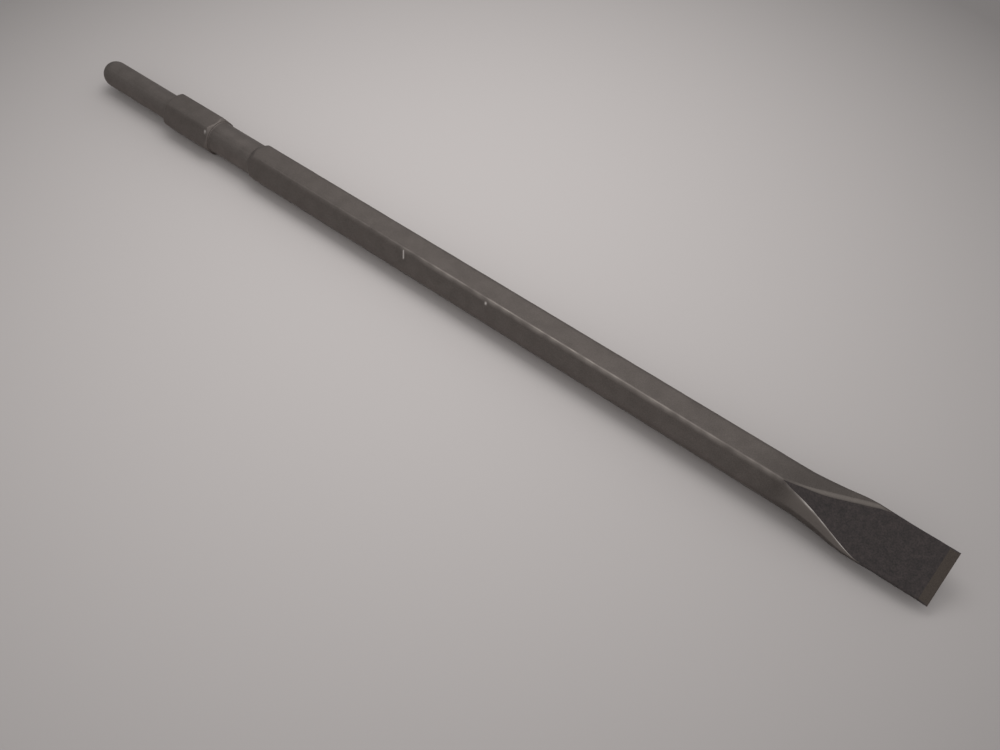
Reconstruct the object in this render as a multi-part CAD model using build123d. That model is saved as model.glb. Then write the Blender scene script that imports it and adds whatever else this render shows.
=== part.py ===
from build123d import *
import math
import os

# A one-piece flat chisel for an electric breaker, drop-forged from hexagon bar.
# +X runs along the tool towards the cutting edge, +Z is up, and the tool lies on one flat.
# The origin is on the tool's axis at the rear face of the hexagon collar. Millimetres.

# Hexagon bar
across_flats = 17.0
corner_radius = 2.1
flat_reach = across_flats / 2
corner_reach = flat_reach / math.cos(math.radians(30))

# Stations along the tool, from the collar's rear face
pilot_length = 53.0
collar_length = 31.5
neck_length = 27.0
overall_length = 450.0
nose_station = -pilot_length
neck_end = collar_length + neck_length
edge_station = overall_length - pilot_length

# Turned shank
pilot_radius = 6.5
collar_face_radius = 8.2
neck_radius = 7.65
neck_fillet = 0.4
body_cone_angle = 30.0
envelope_radius = 12.0

# Forged blade. The flats face the corners at 120 and 300 degrees, seen along -X.
blade_turn = 30.0
blade_root = 334.0
blade_full = 374.0
blade_root_half_thickness = 9.6
blade_full_half_thickness = 3.55
spread_start = 333.0
spread_full = 368.0
wing_start_half_width = 8.0
shoulder_half_width = 10.85
blade_settled = 377.0
blade_half_width = 10.65

# Ground cutting edge
bevel_length = 3.7
bevel_half_thickness = 2.2
edge_half_thickness = 0.25
edge_half_width = 10.8
bevel_station = edge_station - bevel_length


def hexagon_bar():
    """Hexagon bar with rolled corners, two of its flats level, from nose to edge."""
    section = RegularPolygon(flat_reach, 6, major_radius=False)
    section = fillet(section.vertices(), corner_radius)
    return extrude(Plane.YZ.offset(nose_station) * section, overall_length)


def turned_envelope():
    """The round shape the shank is turned to: domed pilot, collar, neck and body cone."""
    collar_chamfer = envelope_radius - collar_face_radius
    cone_run = (envelope_radius - neck_radius) / math.tan(math.radians(body_cone_angle))
    dome_end = (nose_station + pilot_radius, pilot_radius)
    dome_middle = (
        nose_station + pilot_radius * (1 - math.cos(math.radians(45))),
        pilot_radius * math.sin(math.radians(45)),
    )
    fillet_middle = (
        collar_length + neck_fillet * (1 - math.cos(math.radians(45))),
        neck_radius + neck_fillet * (1 - math.sin(math.radians(45))),
    )
    outline = ThreePointArc((nose_station, 0), dome_middle, dome_end)
    outline += Polyline(
        dome_end,
        (0, pilot_radius),
        (0, collar_face_radius),
        (collar_chamfer, envelope_radius),
        (collar_length - collar_chamfer, envelope_radius),
        (collar_length, collar_face_radius),
        (collar_length, neck_radius + neck_fillet),
    )
    outline += ThreePointArc(
        (collar_length, neck_radius + neck_fillet),
        fillet_middle,
        (collar_length + neck_fillet, neck_radius),
    )
    outline += Polyline(
        (collar_length + neck_fillet, neck_radius),
        (neck_end, neck_radius),
        (neck_end + cone_run, envelope_radius),
        (edge_station, envelope_radius),
        (edge_station, 0),
        (nose_station, 0),
    )
    return revolve(make_face(outline.edges()), Axis.X)


def blade_side_profile():
    """Half outline of the blade seen edge-on: an S-shaped taper, the blade, the bevel."""
    taper = Bezier(
        (blade_root, blade_root_half_thickness),
        (blade_root + 18.8, blade_root_half_thickness - 1.2),
        (blade_full - 10.2, blade_full_half_thickness),
        (blade_full, blade_full_half_thickness),
    )
    return taper, Polyline(
        (blade_full, blade_full_half_thickness),
        (bevel_station, bevel_half_thickness),
        (edge_station, edge_half_thickness),
        (edge_station, 0),
        (nose_station, 0),
        (nose_station, envelope_radius),
        (blade_root, envelope_radius),
        (blade_root, blade_root_half_thickness),
    )


def blade_plan_profile():
    """Half outline of the blade seen on its flat: the metal spreads sideways to full width."""
    root_flare = Bezier(
        (spread_start, wing_start_half_width),
        (spread_start + 22, flat_reach + 0.25),
        (spread_full - 9, shoulder_half_width),
        (spread_full, shoulder_half_width),
    )
    return root_flare, Polyline(
        (spread_full, shoulder_half_width),
        (blade_settled, blade_half_width),
        (bevel_station, blade_half_width),
        (edge_station, edge_half_width),
        (edge_station, 0),
        (spread_start, 0),
        (spread_start, wing_start_half_width),
    )


def mirrored_prism(curve, closing_lines, plane):
    """A half outline, doubled about the tool's axis and made thick both ways."""
    half = make_face(curve.edges() + closing_lines.edges())
    whole = half + mirror(half, Plane.XZ)
    return extrude(plane * whole, 2 * envelope_radius, both=True)


def turned_plane(angle):
    """A plane through the tool's axis whose own up direction is turned about +X."""
    return Plane(
        origin=(0, 0, 0),
        x_dir=(1, 0, 0),
        z_dir=(0, math.cos(math.radians(angle)), math.sin(math.radians(angle))),
    )


def four_flat_bar():
    """The same bar with only the four flats that meet at the blade's two faces."""
    corners = [
        (angle, corner_reach if angle in (120, 300) else 2 * flat_reach)
        for angle in (30, 120, 210, 300)
    ]
    points = [
        (reach * math.cos(math.radians(angle)), reach * math.sin(math.radians(angle)))
        for angle, reach in corners
    ]
    section = make_face(Polyline(*points, close=True).edges())
    ridges = section.vertices().sort_by_distance((0, 0))[:2]
    section = fillet(ridges, corner_radius)
    return extrude(Plane.YZ.offset(spread_start) * section, edge_station - spread_start)


def flat_chisel():
    thickness_cut = mirrored_prism(*blade_side_profile(), turned_plane(blade_turn))
    width_cut = mirrored_prism(*blade_plan_profile(), turned_plane(blade_turn + 90))
    shank_and_bar = hexagon_bar() & turned_envelope() & thickness_cut
    wings = four_flat_bar() & width_cut & thickness_cut
    tool = shank_and_bar + wings
    tool.label = "flat_chisel"
    return tool


os.makedirs("parts", exist_ok=True)
export_step(flat_chisel(), "parts/flat_chisel.step")
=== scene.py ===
import bpy
import bmesh
import numpy as np
from math import radians
from mathutils import Matrix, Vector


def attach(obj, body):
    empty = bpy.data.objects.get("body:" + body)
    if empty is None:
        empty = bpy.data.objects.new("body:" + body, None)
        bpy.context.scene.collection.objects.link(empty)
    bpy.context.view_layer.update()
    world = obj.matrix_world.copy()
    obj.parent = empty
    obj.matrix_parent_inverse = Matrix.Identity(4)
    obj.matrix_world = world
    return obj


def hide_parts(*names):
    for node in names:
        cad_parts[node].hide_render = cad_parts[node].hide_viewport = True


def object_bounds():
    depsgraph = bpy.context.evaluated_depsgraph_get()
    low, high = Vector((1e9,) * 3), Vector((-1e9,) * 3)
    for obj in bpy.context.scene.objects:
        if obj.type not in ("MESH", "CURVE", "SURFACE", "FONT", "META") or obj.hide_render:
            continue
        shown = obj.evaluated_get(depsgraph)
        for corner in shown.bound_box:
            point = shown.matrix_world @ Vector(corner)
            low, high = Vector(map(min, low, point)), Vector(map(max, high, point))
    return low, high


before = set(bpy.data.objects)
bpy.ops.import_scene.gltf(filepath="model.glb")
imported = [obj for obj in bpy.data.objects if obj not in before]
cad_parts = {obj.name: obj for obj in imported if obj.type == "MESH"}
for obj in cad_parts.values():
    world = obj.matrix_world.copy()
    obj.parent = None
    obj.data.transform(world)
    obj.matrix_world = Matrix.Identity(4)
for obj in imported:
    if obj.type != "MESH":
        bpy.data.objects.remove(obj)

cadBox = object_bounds()
cadLow, cadHigh = (np.array(corner) * 1000 for corner in cadBox)  # millimetres
print("frame loaded")


# sRGB hex to linear: each channel, as a share of 255, goes through the sRGB curve, and alpha is 1
def linearColour(hexCode):
    channels = [int(hexCode[i:i + 2], 16) / 255 for i in (1, 3, 5)]
    return [c / 12.92 if c <= 0.04045 else ((c + 0.055) / 1.055) ** 2.4 for c in channels] + [1.0]


# adds one node: each setting is a property of the node, or an input, by name or number, that takes a value
# or another node's output
def addNode(tree, kind, settings):
    node = tree.nodes.new(kind)
    for name, value in settings.items():
        if isinstance(value, bpy.types.NodeSocket):
            tree.links.new(value, node.inputs[name])
        elif isinstance(name, str) and hasattr(node, name):
            setattr(node, name, value)
        else:
            node.inputs[name].default_value = value
    return node


room = {
    "cameraPlace": (0.37397, -0.21056, 0.31259),  # metres from the collar's rear face
    "heading": 39.034, "lookDown": 52.874, "roll": -0.099,  # degrees
    "lens": 36.0, "sensor": 36.0, "clipStart": 0.01,
    "floorSize": 6.0, "floorColour": "#d0cac8", "floorRoughness": 0.7, "floorSpecular": 0.25,
    # painted shade on the floor: where its colour is lightest, how fast it darkens away from there, its
    # darkest share
    "floorShadeMiddle": (0.172, -0.017), "floorShadeFade": 4.39, "floorShadeDimmest": 0.4,
    "boxPlace": (0.08, 0.138, 0.397), "boxSize": 0.3, "boxPower": 0.62,
    "skyColour": "#ffffff", "skyStrength": 0.53, "skyBrightSide": (0.9, 0.02, 0.25), "skyContrast": 0.6,
}


# stands at its place and looks down along its heading: the turns are applied roll first, heading last
def makeCamera():
    camera = bpy.data.objects.new("camera", bpy.data.cameras.new("camera"))
    camera.data.lens = room["lens"]
    camera.data.sensor_width = room["sensor"]
    camera.data.clip_start = room["clipStart"]
    camera.matrix_world = (
        Matrix.Translation(room["cameraPlace"])
        @ Matrix.Rotation(radians(room["heading"]), 4, "Z")
        @ Matrix.Rotation(radians(90 - room["lookDown"]), 4, "X")
        @ Matrix.Rotation(radians(room["roll"]), 4, "Z")
    )
    bpy.context.scene.collection.objects.link(camera)
    bpy.context.scene.camera = camera


# White-painted board, rolled on: a nearly matt pale floor that soft shadows show on, its colour darkened
# towards its rim by painted shade
def makeFloor():
    half = room["floorSize"] / 2
    level = cadLow[2] / 1000
    mesh = bpy.data.meshes.new("floor")
    mesh.from_pydata(
        [(-half, -half, level), (half, -half, level), (half, half, level), (-half, half, level)],
        [], [(0, 1, 2, 3)],
    )
    floor = bpy.data.objects.new("floor", mesh)
    bpy.context.scene.collection.objects.link(floor)
    material = bpy.data.materials.new("paintedBoardAndShade")
    material.use_nodes = True
    tree = material.node_tree
    shader = tree.nodes["Principled BSDF"]
    # painted shade: the board's colour grows dimmer away from its middle, as if less light reached its rim: 1
    # less the fade times the squared distance in metres, until it is at its dimmest
    place = addNode(tree, "ShaderNodeTexCoord", {})
    fromMiddle = addNode(tree, "ShaderNodeVectorMath", {
        "operation": "SUBTRACT", 0: place.outputs["Object"], 1: (*room["floorShadeMiddle"], level)}).outputs[0]
    squared = addNode(tree, "ShaderNodeVectorMath", {
        "operation": "DOT_PRODUCT", 0: fromMiddle, 1: fromMiddle})
    paintedShade = addNode(tree, "ShaderNodeMapRange", {
        "Value": squared.outputs["Value"],
        "From Min": 0.0, "From Max": (1 - room["floorShadeDimmest"]) / room["floorShadeFade"],
        "To Min": 1.0, "To Max": room["floorShadeDimmest"]})
    paintAndShade = addNode(tree, "ShaderNodeMix", {
        "data_type": "RGBA", "blend_type": "MULTIPLY", 0: 1.0,
        6: linearColour(room["floorColour"]), 7: paintedShade.outputs[0]})
    tree.links.new(paintAndShade.outputs[2], shader.inputs["Base Color"])
    shader.inputs["Roughness"].default_value = room["floorRoughness"]
    shader.inputs["Specular IOR Level"].default_value = room["floorSpecular"]
    mesh.materials.append(material)


# a soft box that shines straight down, inside a pale dome
def makeLights():
    lamp = bpy.data.lights.new("softBox", "AREA")
    lamp.shape = "SQUARE"
    lamp.size = room["boxSize"]
    lamp.energy = room["boxPower"]
    softBox = bpy.data.objects.new("softBox", lamp)
    softBox.matrix_world = Matrix.Translation(room["boxPlace"])
    bpy.context.scene.collection.objects.link(softBox)
    world = bpy.data.worlds.new("room")
    bpy.context.scene.world = world
    world.use_nodes = True
    tree = world.node_tree
    tree.nodes.clear()
    # the dome is lighter on one side, evenly with the direction's share of that side
    place = addNode(tree, "ShaderNodeTexCoord", {})
    sideways = addNode(tree, "ShaderNodeVectorMath", {
        "operation": "DOT_PRODUCT", 0: place.outputs["Generated"], 1: room["skyBrightSide"]})
    strength = addNode(tree, "ShaderNodeMapRange", {
        "Value": sideways.outputs["Value"], "From Min": -1.0, "From Max": 1.0,
        "To Min": room["skyStrength"] * (1 - room["skyContrast"]),
        "To Max": room["skyStrength"] * (1 + room["skyContrast"])})
    glow = addNode(tree, "ShaderNodeBackground", {
        "Color": linearColour(room["skyColour"]), "Strength": strength.outputs[0]})
    addNode(tree, "ShaderNodeOutputWorld", {"Surface": glow.outputs[0]})
    bpy.context.scene.view_settings.view_transform = "Standard"


makeCamera()
makeFloor()
makeLights()
print("camera, floor and lights made")


# sizes, depths and stations are millimetres, and low and high are what a pattern multiplies the colour by
finishes = {
    "blasted": {"base": "#716a66", "roughness": 0.68,
                "blotch": {"size": 6.0, "detail": 2.0, "low": 0.93, "high": 1.07},
                "grain": {"size": 0.45, "detail": 3.0, "low": 0.88, "high": 1.12}, "grainDepth": 0.012},
    "turned": {"base": "#756e6a", "roughness": 0.60},
    # lighter steel where rubbed, and painted highlight; palest steel where bare, and a painted glint
    "rubbedAndSheen": {"base": "#9a928c", "roughness": 0.50},
    "bareAndGlint": {"base": "#efe9e4", "roughness": 0.35},
    "heat": {"from": 322.0, "to": 342.0, "shade": 0.78},
    "scale": {"base": "#302827", "roughness": 0.62,
              "blotch": {"size": 2.4, "detail": 4.0, "low": 0.70, "high": 1.30},
              "grain": {"size": 0.6, "detail": 3.0, "low": 0.60, "high": 1.45}, "grainDepth": 0.035},
    "ground": {"base": "#504944", "roughness": 0.5,
               "lines": {"size": 0.25, "detail": 2.0, "low": 0.82, "high": 1.18}, "lineDepth": 0.01,
               "lineTurn": -30.0, "lineScale": (1.0, 0.06, 1.0)},  # degrees, and under 1 draws the noise out
}


# starts a material and returns a socket with Object coordinates in millimetres, so that pattern sizes are
# real ones
def startMaterial(name):
    material = bpy.data.materials.new(name)
    material.use_nodes = True
    tree = material.node_tree
    place = addNode(tree, "ShaderNodeTexCoord", {})
    millimetres = addNode(tree, "ShaderNodeVectorMath", {
        "operation": "SCALE", 0: place.outputs["Object"], "Scale": 1000.0})
    return material, tree, tree.nodes["Principled BSDF"], millimetres.outputs[0]


# cloudy noise of one size: its own height for bumps, and the middle of its range spread over low to high
# for colour
def mottled(tree, place, pattern):
    darkest, palest = 0.3, 0.7
    noise = addNode(tree, "ShaderNodeTexNoise", {
        "Vector": place, "Scale": 1 / pattern["size"], "Detail": pattern["detail"]}).outputs[0]
    tint = addNode(tree, "ShaderNodeMapRange", {
        "Value": noise, "From Min": darkest, "From Max": palest,
        "To Min": pattern["low"], "To Max": pattern["high"]})
    return noise, tint.outputs[0]


# Hot-forged and shot-blasted hardened steel: a dull warm grey with a fine even grain, smoother where it was
# turned, rubbed lighter along its ridges and painted lighter still there and at the blade's root as painted
# highlight, bare at marks and painted with a glint along one edge, darkened by heat next to the blade
def makeBlastedSteel():
    material, tree, shader, place = startMaterial("blastedSteel")
    blasted, heated = finishes["blasted"], finishes["heat"]
    blotch = mottled(tree, place, blasted["blotch"])[1]
    height, grain = mottled(tree, place, blasted["grain"])
    along = addNode(tree, "ShaderNodeSeparateXYZ", {0: place}).outputs["X"]
    heat = addNode(tree, "ShaderNodeMapRange", {
        "interpolation_type": "SMOOTHSTEP", "Value": along,
        "From Min": heated["from"], "From Max": heated["to"],
        "To Min": 1.0, "To Max": heated["shade"]}).outputs[0]
    colour, roughness = linearColour(blasted["base"]), blasted["roughness"]
    # each finish lies over the last by its own attribute, and the patterns tint only what neither the rubbed
    # steel with its painted highlight nor the bare steel with its painted glint covers
    for name, tints in (("turned", (blotch, grain, heat)), ("rubbedAndSheen", ()), ("bareAndGlint", ())):
        share = addNode(tree, "ShaderNodeAttribute", {"attribute_name": name}).outputs["Fac"]
        colour = addNode(tree, "ShaderNodeMix", {
            "data_type": "RGBA", 0: share, 6: colour, 7: linearColour(finishes[name]["base"])}).outputs[2]
        roughness = addNode(tree, "ShaderNodeMix", {
            "data_type": "FLOAT", 0: share, 2: roughness, 3: finishes[name]["roughness"]}).outputs[0]
        for tint in tints:
            colour = addNode(tree, "ShaderNodeMix", {
                "data_type": "RGBA", "blend_type": "MULTIPLY", 0: 1.0, 6: colour, 7: tint}).outputs[2]
    bump = addNode(tree, "ShaderNodeBump", {"Distance": blasted["grainDepth"] / 1000, "Height": height})
    tree.links.new(colour, shader.inputs["Base Color"])
    tree.links.new(roughness, shader.inputs["Roughness"])
    tree.links.new(bump.outputs[0], shader.inputs["Normal"])
    shader.inputs["Metallic"].default_value = 1.0
    return material


# Iron oxide scale left by quenching: near-black, matt and blotchy, with paler specks where flakes came off
def makeQuenchScale():
    material, tree, shader, place = startMaterial("quenchScale")
    scale = finishes["scale"]
    colour = linearColour(scale["base"])
    height, grain = mottled(tree, place, scale["grain"])
    for tint in (mottled(tree, place, scale["blotch"])[1], grain):
        colour = addNode(tree, "ShaderNodeMix", {
            "data_type": "RGBA", "blend_type": "MULTIPLY", 0: 1.0, 6: colour, 7: tint}).outputs[2]
    bump = addNode(tree, "ShaderNodeBump", {"Distance": scale["grainDepth"] / 1000, "Height": height})
    tree.links.new(colour, shader.inputs["Base Color"])
    tree.links.new(bump.outputs[0], shader.inputs["Normal"])
    shader.inputs["Roughness"].default_value = scale["roughness"]
    return material


# Steel ground on a wheel and left to tarnish: brownish bare metal with fine lines along the edge
def makeGroundSteel():
    material, tree, shader, place = startMaterial("groundSteel")
    ground = finishes["ground"]
    # the lines run across the blade, so the noise is turned with it and drawn out that way
    drawnOut = addNode(tree, "ShaderNodeMapping", {
        "Vector": place, "Rotation": (radians(ground["lineTurn"]), 0, 0),
        "Scale": ground["lineScale"]}).outputs[0]
    height, lines = mottled(tree, drawnOut, ground["lines"])
    colour = addNode(tree, "ShaderNodeMix", {
        "data_type": "RGBA", "blend_type": "MULTIPLY", 0: 1.0, 6: linearColour(ground["base"]), 7: lines})
    bump = addNode(tree, "ShaderNodeBump", {"Distance": ground["lineDepth"] / 1000, "Height": height})
    tree.links.new(colour.outputs[2], shader.inputs["Base Color"])
    tree.links.new(bump.outputs[0], shader.inputs["Normal"])
    shader.inputs["Metallic"].default_value = 1.0
    shader.inputs["Roughness"].default_value = ground["roughness"]
    return material


# lengths are millimetres, and a pair under rises or fades is where along the tool a change starts and ends
chisel = {
    "cornerRadius": 2.1, "pilotRadius": 6.5,
    "collarFaceRadius": 8.2, "collarChamfer": 2.0, "collarEnd": 31.5,
    "neckRadius": 7.65, "neckFillet": 0.4, "neckEnd": 58.5, "coneSlope": 0.57735, "coneTopRadius": 9.9,
    "uncutRadius": 14.0,  # clear of the bar's corners, so nothing is turned there
    "faceCurve": ((334, 9.6), (352.8, 8.4), (363.8, 3.55), (374, 3.55)),
    "sideCurve": ((333, 8.0), (355, 8.75), (359, 10.85), (368, 10.85)),
    "sideSettled": 377.0, "bladeHalfWidth": 10.65, "edgeHalfWidth": 10.8,
    "bevelRun": 3.7, "bevelHalf": 2.2, "edgeHalf": 0.25,
    "bladeCorner": {"radius": 0.5, "rises": (350, 366)},
    "upperRoot": {"radius": 4.2, "rises": (342, 352), "fades": (364, 373)},
    "lowerRoot": {"radius": 0.45, "rises": (335.5, 341), "fades": (360, 367)},
    "bladeAcross": (0.866, 0.5), "bladeNormal": (0, -0.5, 0.866),  # the blade stands turned 30 degrees
    "sharpAngle": 24.0,  # degrees between faces, past which the edge between them shows sharp
    # how many spans each side and corner has, and where each run of stations along the body ends, with its
    # steps: closer together at the scratch, at the nick and along the blade's root
    "spans": {"face": 28, "strip": 8, "side": 7, "corner": 6},
    "bodyRuns": ((154, 84), (158.5, 18), (199.5, 34), (203, 14), (333, 118), (376, 126)),
    # unevenness left by forging, how strong it is along the tool, and dents from loose scale under the hammer
    "forgedRipple": {"depth": 0.05, "wavelength": 9.0, "seed": 11},
    "bladeRipple": {"depth": 0.09, "wavelength": 3.2, "seed": 12, "rises": (340, 372)},
    "ridgeWobble": {"depth": 0.10, "wavelength": 2.6, "seed": 13},
    "forgedAlong": ((-53, 0.1), (1, 0.1), (3, 0.5), (31, 0.5), (32, 0.1), (62, 0.1), (66, 1.0), (330, 1.0),
                    (350, 1.3), (370, 1.6), (393, 1.6), (394, 0.15), (397, 0.05)),
    "dents": {"count": 70, "seed": 7, "depth": 0.10, "from": 338, "to": 391, "spread": 10,
              "smallest": 0.5, "largest": 1.6, "shallowest": 0.3},
    # marks from use: a burr on the collar, then a scratch and a nick, each from one point to another
    "burr": {"place": (29.6, -6.1, 6.4), "reach": 0.55, "height": 0.28},
    "marks": ({"from": (155.3, -5.5, 7.4), "to": (156.3, -6.9, 5.0), "reach": 0.28},
              {"from": (200.6, -6.0, 6.7), "to": (200.7, -6.1, 6.6), "reach": 0.42}),
    "markDepth": 0.12, "turnedEdgeRub": 0.25,
    # shares of rubbed steel and the painted highlight over it, strongest along the middle of the bar, and
    # of bare steel
    "rubAndSheenAlong": ((60, 0.1), (110, 0.25), (150, 0.3), (170, 0.8), (230, 1.0), (270, 1.0), (300, 0.8),
                 (334, 0.6), (337, 0.0)),
    "rubAndSheenPatches": {"wavelength": 5.0, "seed": 21, "mean": 0.8, "swing": 0.4, "least": 0.0, "most": 1.2},
    # at the blade's root: painted highlight on the rubbed upper and lower corners, painted light on the
    # strips
    "rootRubAndSheen": {"upper": 0.4, "lower": 0.5, "paintedLightBeside": 0.32, "atCorner": 0.25,
                "rises": (335, 345), "fades": (367, 372)},
    # each root's lower edge: scraped to bare steel in patches, and painted with a glint along it
    "scrapeAndGlint": {"share": 0.55, "rises": (336, 350), "fades": (366, 371)},
    "scrapeAndGlintPatches": {"wavelength": 4.0, "seed": 22, "mean": 0.9, "swing": 0.5, "least": 0.3, "most": 1.3},
    # where quench scale starts, on the blade's faces and all round
    "scaledFaceFrom": 336.0, "scaledAllFrom": 371.5,
}
cornerKind = 10  # added to a corner's number, so that it isn't taken for a side's


# a straight run of stations: x and radius both change evenly
def straight(x0, x1, r0, r1, steps):
    return np.linspace(x0, x1, steps + 1), np.linspace(r0, r1, steps + 1)


# height of a cubic Bezier curve over x, read between 400 samples of it
def curveOver(x, points):
    t = np.linspace(0, 1, 400)[:, None]
    p0, p1, p2, p3 = np.array(points, float)
    samples = (1 - t) ** 3 * p0 + 3 * (1 - t) ** 2 * t * p1 + 3 * (1 - t) * t ** 2 * p2 + t ** 3 * p3
    return np.interp(x, samples[:, 0], samples[:, 1])


# 0 below low, 1 above high, and 3t squared minus 2t cubed between them
def smoothStep(low, high, x):
    t = np.clip((x - low) / (high - low), 0, 1)
    return t * t * (3 - 2 * t)


# a value given at some stations, changing evenly between them, with one row for each x
def alongTool(x, stations):
    places, values = zip(*stations)
    return np.interp(x, places, values)[:, None]


# Stations down the tool and the radius it is turned to there: a quarter circle for the nose, straight runs
# for the pilot, collar, neck and cone, with a quarter circle in the neck's corner, then the bar, left uncut.
def turnedStations():
    s = chisel
    bar, chamfer = s["uncutRadius"], s["collarChamfer"]
    chamferTop = s["collarFaceRadius"] + chamfer
    collarEnd, neckEnd = s["collarEnd"], s["neckEnd"]
    nose, edge = cadLow[0], cadHigh[0]
    bend = np.linspace(0, np.pi / 2, 15)[1:]
    groove = np.linspace(0, np.pi / 2, 7)
    coneEnd = neckEnd + (s["coneTopRadius"] - s["neckRadius"]) / s["coneSlope"]
    # a short gap is left between a turned run and an uncut one, where the surface slopes between them
    runs = [
        (nose + s["pilotRadius"] * (1 - np.cos(bend)), s["pilotRadius"] * np.sin(bend)),
        straight(nose + s["pilotRadius"], 0, s["pilotRadius"], s["pilotRadius"], 44),
        straight(0, 0, s["pilotRadius"], s["collarFaceRadius"], 6),
        straight(0, chamfer, s["collarFaceRadius"], chamferTop, 12),
        straight(chamfer + 0.3, 27.5, bar, bar, 26),
        straight(27.8, collarEnd - chamfer - 0.1, bar, bar, 8),  # closer together at the burr
        straight(collarEnd - chamfer, collarEnd, chamferTop, s["collarFaceRadius"], 14),
        straight(collarEnd, collarEnd, s["collarFaceRadius"], s["neckRadius"] + s["neckFillet"], 2),
        (collarEnd + s["neckFillet"] * (1 - np.cos(groove)),
         s["neckRadius"] + s["neckFillet"] * (1 - np.sin(groove))),
        straight(collarEnd + s["neckFillet"], neckEnd, s["neckRadius"], s["neckRadius"], 30),
        straight(neckEnd, coneEnd, s["neckRadius"], s["coneTopRadius"], 22),
    ]
    runStart = coneEnd + 0.3
    for runEnd, steps in (*s["bodyRuns"], (edge - s["bevelRun"], 44), (edge, 14)):
        runs.append(straight(runStart, runEnd, bar, bar, steps))
        runStart = runEnd
    x = np.concatenate([run[0] for run in runs])
    radius = np.concatenate([run[1] for run in runs])
    # a run starts where the last one ended, so each station that only repeats the one before it is dropped
    moved = (np.abs(np.diff(x)) + np.abs(np.diff(radius))) > 1e-6
    fresh = np.concatenate([[True], moved])
    return x[fresh], radius[fresh]


# Each outline has eight sides, each a line at some reach from the axis with its own normal, and eight
# corners, each an arc that touches the two sides beside it. The sides in order are blade face, strip, edge
# and strip, twice.
def outlines(x):
    s = chisel
    angles = np.radians([120, 150, 210, 270, 300, 330, 390, 450])
    cos30 = np.cos(radians(30))
    bladeFull, fullHalf = s["faceCurve"][3]
    bevelStart = cadHigh[0] - s["bevelRun"]
    barReach = (cadHigh[2] - s["cornerRadius"]) / cos30 + s["cornerRadius"]
    tapered = np.interp(x, [bladeFull, bevelStart, cadHigh[0]], [fullHalf, s["bevelHalf"], s["edgeHalf"]])
    face = np.minimum(np.where(x < bladeFull, curveOver(x, s["faceCurve"]), tapered), barReach)
    shoulderStation, shoulderHalf = s["sideCurve"][3]
    beyondShoulder = np.interp(
        x, [shoulderStation, s["sideSettled"], bevelStart, cadHigh[0]],
        [shoulderHalf, s["bladeHalfWidth"], s["bladeHalfWidth"], s["edgeHalfWidth"]])
    widening = np.maximum(curveOver(x, s["sideCurve"]), cadHigh[2])
    side = np.where(x < shoulderStation, widening, beyondShoulder)
    # corner radii: soft above the blade's root, sharp below it, alike again where the blade is full
    bar, blade, upperRoot, lowerRoot = s["cornerRadius"], s["bladeCorner"], s["upperRoot"], s["lowerRoot"]
    plain = bar + (blade["radius"] - bar) * smoothStep(*blade["rises"], x)
    upper = bar + (upperRoot["radius"] - bar) * smoothStep(*upperRoot["rises"], x)
    upper = upper + (blade["radius"] - upper) * smoothStep(*upperRoot["fades"], x)
    lower = bar + (lowerRoot["radius"] - bar) * smoothStep(*lowerRoot["rises"], x)
    lower = lower + (blade["radius"] - lower) * smoothStep(*lowerRoot["fades"], x)
    # where the blade's face is still narrow, its corners are no larger than it leaves room for: its half
    # width is twice the flats' reach less 2 cos 30 times its own, and a corner that turns 30 degrees takes up
    # its radius over 3.73; nor is a corner much larger than half the blade's thickness
    cornerRoom = 3.7 * np.maximum(2 * cadHigh[2] - 2 * cos30 * face, 0.05)
    upper = np.minimum(np.minimum(upper, cornerRoom), 1.1 * face)
    lower = np.minimum(np.minimum(lower, cornerRoom), 0.8 * face)
    plain = np.minimum(plain, 0.8 * face)
    radius = np.stack([lower, plain, plain, upper, lower, plain, plain, upper], 1)

    # a strip reaches to the bar's flat, or less where the blade is thin: to the centre of the corner between
    # face and edge, seen along the strip's normal, and on by a radius blended from theirs
    def stripReach(faceCorner, sideCorner):
        centreReach = cos30 * (face - faceCorner) + 0.5 * (side - sideCorner)
        return np.minimum(centreReach + 0.75 * faceCorner + 0.25 * sideCorner, cadHigh[2])

    below, above = stripReach(lower, plain), stripReach(upper, plain)
    reach = np.stack([face, below, side, above, face, below, side, above], 1)
    normal = np.stack([np.cos(angles), np.sin(angles)], 1)
    tangent = np.stack([-np.sin(angles), np.cos(angles)], 1)
    turn = np.mod(np.roll(angles, -1) - angles, 2 * np.pi)
    # a corner's centre is where its two sides, moved in by the corner's radius, cross
    thisSide = reach - radius
    nextSide = np.roll(reach, -1, 1) - radius
    along = (nextSide - thisSide * np.cos(turn)) / np.sin(turn)
    centre = thisSide[..., None] * normal + along[..., None] * tangent
    spans = [s["spans"][name] for name in ("face", "strip", "side", "strip")] * 2
    places, outward, kind, across = [], [], [], []
    for k in range(8):
        start = centre[:, k - 1] + radius[:, k - 1, None] * normal[k]
        end = centre[:, k] + radius[:, k, None] * normal[k]
        for step in np.linspace(0, 1, spans[k] + 1)[1:-1]:
            places.append(start + (end - start) * step)
            outward.append(np.broadcast_to(normal[k], start.shape))
            kind.append(k)
            across.append(step)
        for step in np.linspace(0, 1, s["spans"]["corner"] + 1):
            angle = angles[k] + turn[k] * step
            direction = np.array([np.cos(angle), np.sin(angle)])
            places.append(centre[:, k] + radius[:, k, None] * direction)
            outward.append(np.broadcast_to(direction, start.shape))
            kind.append(cornerKind + k)
            across.append(step)
    return np.stack(places, 1), np.stack(outward, 1), np.array(kind), np.array(across)


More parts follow.
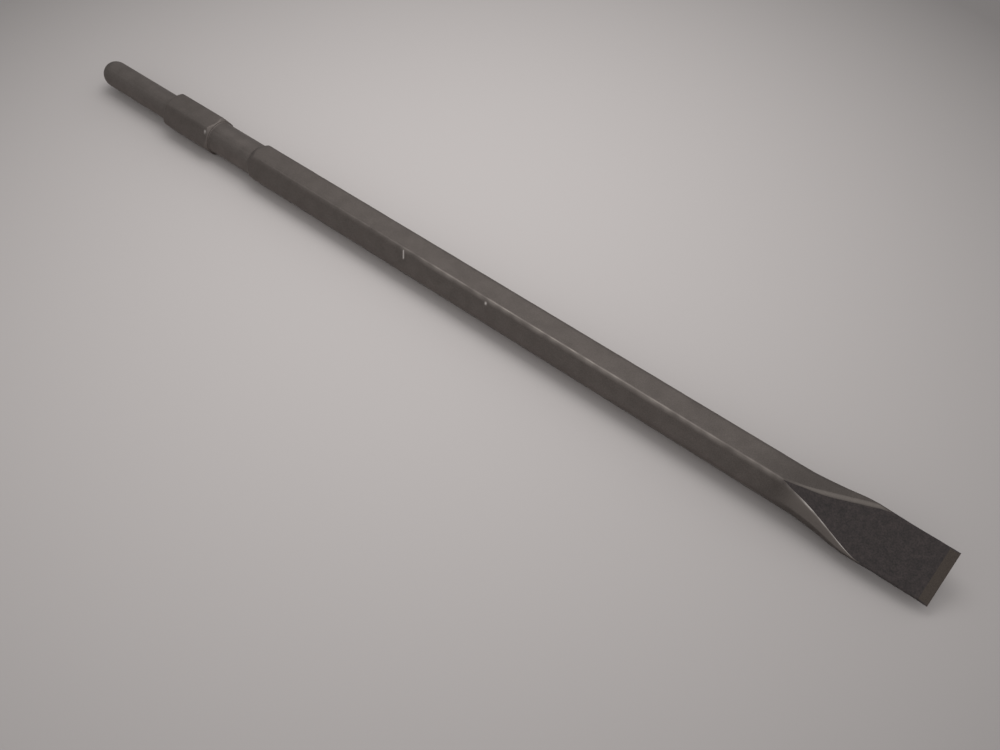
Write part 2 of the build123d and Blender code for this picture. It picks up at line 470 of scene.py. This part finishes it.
# the sum of 18 seeded sine waves that run in all directions through space, over 6: mostly within -1 to 1
def ripple(points, pattern):
    chance = np.random.default_rng(pattern["seed"])
    total = np.zeros(points.shape[:-1])
    for wave in chance.normal(size=(18, 3)):
        length = pattern["wavelength"] * chance.uniform(0.7, 1.5)
        wave = wave / np.linalg.norm(wave) * 2 * np.pi / length
        total += np.sin(points @ wave + chance.uniform(0, 2 * np.pi))
    return total / 6


# patchy wear: the pattern's mean plus its swing times a ripple, kept between its least and its most
def patches(points, pattern):
    share = pattern["mean"] + pattern["swing"] * ripple(points, pattern)
    return np.clip(share, pattern["least"], pattern["most"])


# how near points are to a place: 1 there, falling as a bell curve over the reach
def nearPlace(points, place, reach):
    away = np.linalg.norm(points - place, axis=-1)
    return np.exp(-(away / reach) ** 2)


# the same for a mark: each point's place is the nearest one on the line between the mark's ends
def nearMark(points, mark):
    start = np.array(mark["from"])
    run = np.array(mark["to"]) - start
    along = np.clip(((points - start) @ run) / (run @ run), 0, 1)
    return nearPlace(points, start + along[..., None] * run, mark["reach"])


# Adds the dents to the depth: each is a bell curve over the distance along one of the blade's faces, from a
# random place on it, and leaves alone what faces another way.
def withDents(depth, points, outward):
    dents = chisel["dents"]
    chance = np.random.default_rng(dents["seed"])
    for dent in range(dents["count"]):
        station = chance.uniform(dents["from"], dents["to"])
        aside = chance.uniform(-dents["spread"], dents["spread"]) * np.array(chisel["bladeAcross"])
        face = np.array(chisel["bladeNormal"]) * chance.choice([-1, 1])
        offset = points - np.array([station, *aside])
        away = np.linalg.norm(offset - (offset @ face)[..., None] * face, axis=2)
        facing = (outward @ face[1:]) > 0.9  # within about 25 degrees of the face
        size = chance.uniform(dents["smallest"], dents["largest"])
        share = chance.uniform(dents["shallowest"], 1)
        depth = depth + dents["depth"] * share * np.exp(-(away / size) ** 2) * facing
    return depth


# The chisel's surface over stations and columns: each outline is drawn in to the turned radius where that
# is smaller, then each point moves in along its side's normal by the ripples, dents and marks, and out by
# the burr.
def chiselSurface():
    s = chisel
    x, turned = turnedStations()
    section, outward, kind, across = outlines(x)
    reach = np.linalg.norm(section, axis=2)
    limit = turned[:, None]
    isCut = limit < s["uncutRadius"]
    # the smaller of hexagon and turned radius, with the edge between them rubbed round
    kept = (reach + limit - np.sqrt((reach - limit) ** 2 + s["turnedEdgeRub"] ** 2)) / 2
    kept = np.where(isCut, np.minimum(kept, reach), reach)
    isTurned = smoothStep(-0.4, 0.1, reach - limit) * isCut
    section = section * (kept / reach)[..., None]
    points = np.concatenate([np.broadcast_to(x[:, None, None], section.shape[:2] + (1,)), section], 2)

    # each ripple is shifted up by 1, so that nearly all of it takes steel away
    forgedRipple, bladeRipple, ridgeWobble = s["forgedRipple"], s["bladeRipple"], s["ridgeWobble"]
    forged = alongTool(x, s["forgedAlong"])
    onBlade = smoothStep(*bladeRipple["rises"], x)[:, None] * (x < cadHigh[0] - s["bevelRun"])[:, None]
    onCorner = np.where(kind >= cornerKind, np.sin(np.pi * across), 0)[None] * np.ones_like(reach)
    depth = forgedRipple["depth"] * forged * (1 + ripple(points, forgedRipple)) / 2
    depth = depth + bladeRipple["depth"] * onBlade * (1 + ripple(points, bladeRipple)) / 4
    wobble = ridgeWobble["depth"] * np.minimum(forged, 1) * onCorner
    depth = depth + wobble * (1 + ripple(points, ridgeWobble)) / 2
    depth = withDents(depth, points, outward)
    bareAndGlint = nearPlace(points, s["burr"]["place"], s["burr"]["reach"])
    depth = depth - s["burr"]["height"] * bareAndGlint
    for mark in s["marks"]:
        near = nearMark(points, mark)
        depth = depth + s["markDepth"] * near
        bareAndGlint = np.maximum(bareAndGlint, near)
    inward = np.minimum(depth, 0.4 * kept)  # nothing is dented through
    points[..., 1:] -= outward * inward[..., None]
    points[..., 2] = np.clip(points[..., 2], cadLow[2], cadHigh[2])
    return x, points, kind, across, isTurned, bareAndGlint


# The shares of rubbed and bare steel at each point, both with painted light in them. Rubbed: the two ridges
# that end at the blade's faces, worn there and painted with the highlight they catch, most on the ridge
# itself and the side below it, times a strength along the bar that makes the painted highlight brightest at
# its middle and times patches, or the edges beside the faces' roots, as painted highlight on their rounding,
# and painted light on the strips beside them, whichever is more. Bare: the marks, or each root's lower edge,
# scraped in patches and painted with a glint.
def wornShares(x, points, kind, across, bareAndGlint):
    s = chisel
    rootRubAndSheen, scrapeAndGlint = s["rootRubAndSheen"], s["scrapeAndGlint"]
    upperCorner = np.isin(kind, (cornerKind + 3, cornerKind + 7))
    lowerCorner = np.isin(kind, (cornerKind, cornerKind + 4))
    onFace, onStrip = np.isin(kind, (0, 4)), np.isin(kind, (1, 5))
    ridge = np.select(
        [upperCorner, lowerCorner, onFace],
        [smoothStep(0.3, 0.9, across), 1 - 0.5 * smoothStep(0.3, 1, across), np.ones_like(across)], 0)
    rubbedAndSheen = ridge[None] * alongTool(x, s["rubAndSheenAlong"]) * patches(points, s["rubAndSheenPatches"])
    atRoot = smoothStep(*rootRubAndSheen["rises"], x) * (1 - smoothStep(*rootRubAndSheen["fades"], x))
    paintedLightBeside = np.where(onStrip, rootRubAndSheen["paintedLightBeside"] + rootRubAndSheen["atCorner"] * np.exp(-4 * across), 0)
    rootEdge = np.select(
        [upperCorner, lowerCorner],
        [rootRubAndSheen["upper"] * np.sin(np.pi * across) ** 0.5, np.full_like(across, rootRubAndSheen["lower"])], paintedLightBeside)
    rubbedAndSheen = np.maximum(rubbedAndSheen, rootEdge[None] * atRoot[:, None])
    atScrapeAndGlint = smoothStep(*scrapeAndGlint["rises"], x) * (1 - smoothStep(*scrapeAndGlint["fades"], x))
    scrapedAndGlint = np.where(lowerCorner, scrapeAndGlint["share"], 0)[None] * atScrapeAndGlint[:, None]
    bareAndGlint = np.maximum(bareAndGlint, scrapedAndGlint * patches(points, s["scrapeAndGlintPatches"]))
    return rubbedAndSheen, bareAndGlint


# One closed mesh: a quad between each two stations and two columns, a fan of triangles to the tip of the
# nose, and one face across the cutting edge. Each face has its finish, and each vertex its shares of turned
# steel, of rubbed steel with painted highlight, and of bare steel with a painted glint.
def makeChisel():
    x, points, kind, across, isTurned, bareAndGlint = chiselSurface()
    rows, cols = points.shape[:2]
    print("surface worked out:", rows, "stations of", cols, "points")
    grid = np.arange(rows * cols).reshape(rows, cols)
    nextColumn = np.roll(grid, -1, 1)
    quads = np.stack([grid[:-1], grid[1:], nextColumn[1:], nextColumn[:-1]], 2).reshape(-1, 4)
    fan = np.stack([np.full(cols, rows * cols), grid[0], nextColumn[0]], 1)
    faces = quads.tolist() + fan.tolist() + [grid[-1][::-1].tolist()]
    vertices = np.concatenate([points.reshape(-1, 3), [[cadLow[0], 0, 0]]]) / 1000

    # which finish each face has, by its number among the materials
    blasted, scale, ground = 0, 1, 2
    middle = ((x[:-1] + x[1:]) / 2)[:, None]
    onFace = np.isin(kind, (0, 4))
    bladeFace = (onFace | np.roll(onFace, -1))[None]
    isScaled = (bladeFace & (middle > chisel["scaledFaceFrom"])) | (middle > chisel["scaledAllFrom"])
    isGround = bladeFace & (middle > cadHigh[0] - chisel["bevelRun"])
    finish = np.where(isGround, ground, np.where(isScaled, scale, blasted)).reshape(-1).tolist()
    finish += [blasted] * len(fan) + [ground]
    rubbedAndSheen, bareAndGlint = wornShares(x, points, kind, across, bareAndGlint)

    mesh = bpy.data.meshes.new("forgedChisel")
    mesh.from_pydata(vertices.tolist(), [], faces)
    mesh.polygons.foreach_set("material_index", finish)
    for name, shares in (("rubbedAndSheen", rubbedAndSheen), ("bareAndGlint", bareAndGlint), ("turned", isTurned)):
        layer = mesh.attributes.new(name, "FLOAT", "POINT")
        layer.data.foreach_set("value", np.append(shares.reshape(-1), shares[0, 0]).astype(np.float32))
    build = bmesh.new()
    build.from_mesh(mesh)
    # merges points under 0.002 mm apart, then turns every face outwards
    bmesh.ops.remove_doubles(build, verts=build.verts, dist=2e-6)
    bmesh.ops.recalc_face_normals(build, faces=build.faces)
    build.to_mesh(mesh)
    build.free()
    mesh.shade_smooth()
    mesh.set_sharp_from_angle(angle=radians(chisel["sharpAngle"]))
    for material in (makeBlastedSteel(), makeQuenchScale(), makeGroundSteel()):
        mesh.materials.append(material)
    piece = bpy.data.objects.new("forgedChisel", mesh)
    bpy.context.scene.collection.objects.link(piece)
    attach(piece, "root")
    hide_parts("flat_chisel")
    triangles = sum(len(face.vertices) - 2 for face in mesh.polygons)
    print("chisel made:", len(mesh.vertices), "vertices,", triangles, "triangles")


makeChisel()
